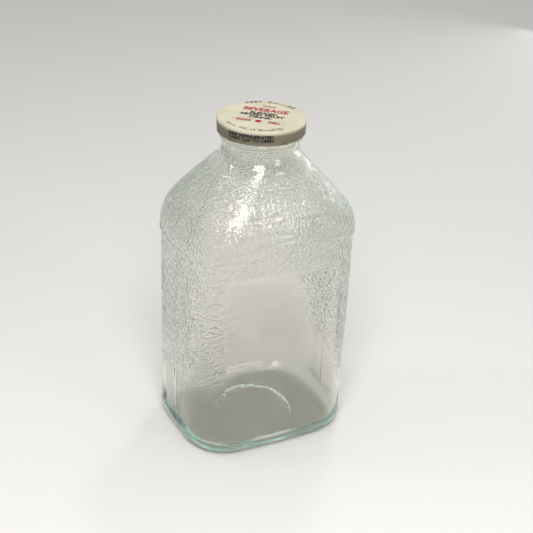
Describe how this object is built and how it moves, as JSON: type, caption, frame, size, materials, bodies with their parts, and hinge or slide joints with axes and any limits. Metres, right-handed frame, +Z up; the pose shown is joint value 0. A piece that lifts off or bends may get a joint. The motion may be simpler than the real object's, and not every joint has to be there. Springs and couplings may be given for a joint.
{
  "type": "half-gallon glass bottle with twist-off cap",
  "caption": "Tall rounded-rectangle clear glass drinks bottle with sloping shoulders, a round threaded neck and a shallow steel twist-off cap with a sealing ring.",
  "frame": {"origin": "middle of the base, on the surface that the bottle stands on", "axes": "+Z up the neck, the wide front face towards -Y, the narrow sides towards +X and -X"},
  "size_m": [0.126, 0.1024, 0.2366],
  "materials": {
    "glass": "clear flint glass, stippled on the shoulder and corners, smooth on the wide faces",
    "cap": "cream lithographed enamel on tinplate, satin, lightly worn",
    "seal": "matte cream sealing compound"
  },
  "bodies": {
    "bottle": {"glass_bottle": "glass"},
    "seal": {"sealing_ring": "seal"},
    "cap": {"cap_shell": "cap"}
  },
  "joints": [
    {"name": "cap_rise", "type": "slide", "parent": "bottle", "child": "seal", "axis": [0, 0, 1], "range_m": [0, 0.0142]},
    {"name": "cap_twist", "type": "hinge", "parent": "seal", "child": "cap", "pos_m": [0, 0, 0.2318], "axis": [0, 0, 1], "range_deg": [0, 400]}
  ],
  "couplings": [
    {"joint": "cap_rise", "follows": "cap_twist", "m_per_rad": 0.0020213}
  ]
}
